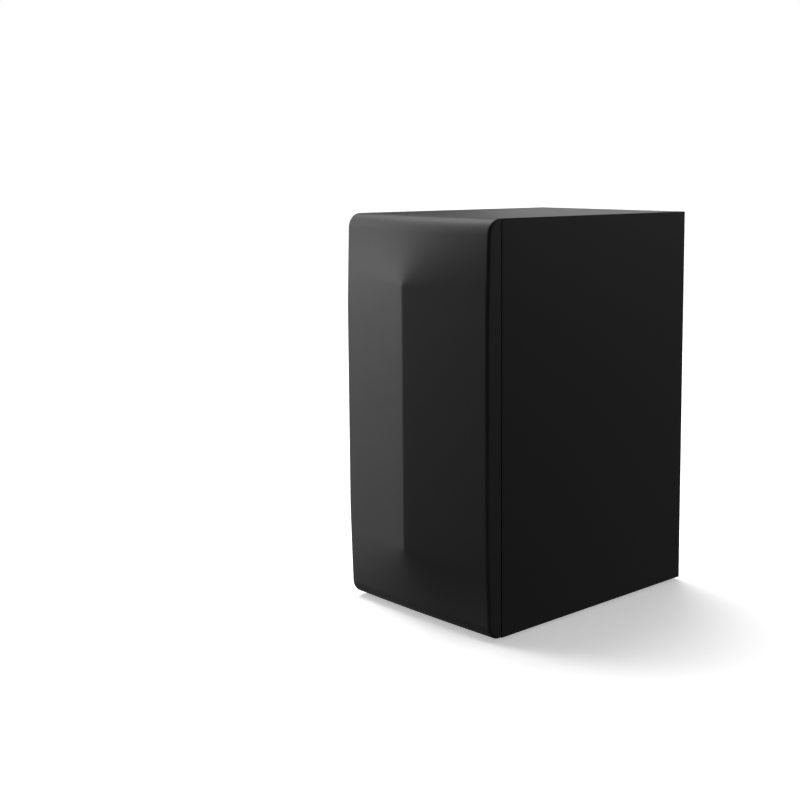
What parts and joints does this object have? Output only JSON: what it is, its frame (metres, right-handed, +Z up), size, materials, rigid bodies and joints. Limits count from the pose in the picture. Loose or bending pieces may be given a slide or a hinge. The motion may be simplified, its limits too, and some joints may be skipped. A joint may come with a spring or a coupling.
{
  "type": "subwoofer",
  "caption": "Compact wireless subwoofer: black fibreboard box, ridged moulded front cover, side-firing driver behind a round grille, rear port, amplifier plate and mains inlet.",
  "frame": {"origin": "on the floor under the middle of the whole object, at the feet's underside", "axes": "+Z up, the front cover faces -Y, the driver and its grille face -X, the port and the amplifier plate face +Y"},
  "size_m": [0.171, 0.2562, 0.3315],
  "materials": {
    "cabinet_foil": "matt black embossed vinyl foil over fibreboard",
    "raw_fibreboard": "raw medium-density fibreboard",
    "black_fibreboard": "fibreboard painted matt black",
    "cover_abs": "moulded ABS with a fine spark-eroded grain",
    "foam": "closed-cell foam",
    "foot_rubber": "moulded rubber",
    "surround_rubber": "satin nitrile rubber",
    "wadding": "loose polyester wadding",
    "black_abs": "moulded ABS, fine grain",
    "grille_knit": "stretched knitted acoustic cloth",
    "basket_paint": "black powder coat on pressed steel",
    "cone_paper": "pressed black paper pulp",
    "former_film": "amber polyimide film on a rolled former",
    "copper": "enamelled copper wire",
    "spider_cloth": "resin-dipped cotton, pressed in rings",
    "zinc_steel": "bright zinc plate",
    "black_screw": "black phosphate",
    "ferrite": "sintered ferrite, ground faces",
    "amp_plate_paint": "fine-textured black powder coat on sheet steel",
    "circuit_board": "green solder mask on glass epoxy",
    "heat_sink_black": "black anodised extrusion",
    "capacitor_sleeve": "shrink sleeve over an aluminium can",
    "chip_epoxy": "moulded epoxy",
    "white_nylon": "natural nylon",
    "light_lens": "clear polycarbonate",
    "lead_red": "soft PVC sleeve",
    "lead_black": "soft PVC sleeve"
  },
  "bodies": {
    "cabinet": {"amp_board": "circuit_board", "amp_chip": "chip_epoxy", "amp_gasket": "foam", "amp_plate": "amp_plate_paint", "amp_screws": "black_screw", "board_screws": "zinc_steel", "board_spacers": "zinc_steel", "bottom_panel": "cabinet_foil", "bulk_capacitors": "capacitor_sleeve", "damping_wadding": "wadding", "driver_baffle": "black_fibreboard", "driver_basket": "basket_paint", "driver_gasket_ring": "foot_rubber", "driver_screws": "black_screw", "driver_seal": "foam", "foot_front_left": "foot_rubber", "foot_front_right": "foot_rubber", "foot_rear_left": "foot_rubber", "foot_rear_right": "foot_rubber", "front_board": "raw_fibreboard", "front_gasket": "foam", "front_panel": "cover_abs", "front_peg_cups": "foot_rubber", "grille_cups": "foot_rubber", "heat_sink": "heat_sink_black", "inductors": "ferrite", "inlet_pins": "zinc_steel", "left_side_panel": "cabinet_foil", "magnet": "ferrite", "mains_leads": "lead_black", "port_tube": "black_abs", "power_inlet": "black_abs", "rear_board": "cabinet_foil", "right_side_panel": "cabinet_foil", "speaker_connector": "white_nylon", "speaker_lead_black": "lead_black", "speaker_lead_red": "lead_red", "spider": "spider_cloth", "status_led": "light_lens", "status_light": "light_lens", "surround": "surround_rubber", "tact_switch": "chip_epoxy", "terminal_strip": "black_abs", "terminal_tags": "zinc_steel", "tinsel_leads": "copper", "top_panel": "cabinet_foil", "top_plate": "zinc_steel", "transformer_core": "ferrite", "transformer_winding": "copper", "wireless_board": "circuit_board", "yoke": "zinc_steel"},
    "driver_cone": {"cone": "cone_paper", "dust_cap": "cone_paper", "coil_former": "former_film", "coil_winding": "copper"},
    "grille": {"grille_frame": "black_abs", "grille_cloth": "grille_knit"},
    "pairing_button": {"pair_button": "black_abs"}
  },
  "joints": [
    {"name": "cone_travel", "type": "slide", "parent": "cabinet", "child": "driver_cone", "axis": [-1, 0, 0], "range_m": [-0.005, 0.005], "stiffness_N_per_m": 2500, "deforming": ["surround", "spider", "tinsel_leads"]},
    {"name": "grille_pull", "type": "slide", "parent": "cabinet", "child": "grille", "axis": [-1, 0, 0], "range_m": [0, 0.05]},
    {"name": "button_press", "type": "slide", "parent": "cabinet", "child": "pairing_button", "axis": [0, -1, 0], "range_m": [0, 0.0006], "stiffness_N_per_m": 2500}
  ]
}
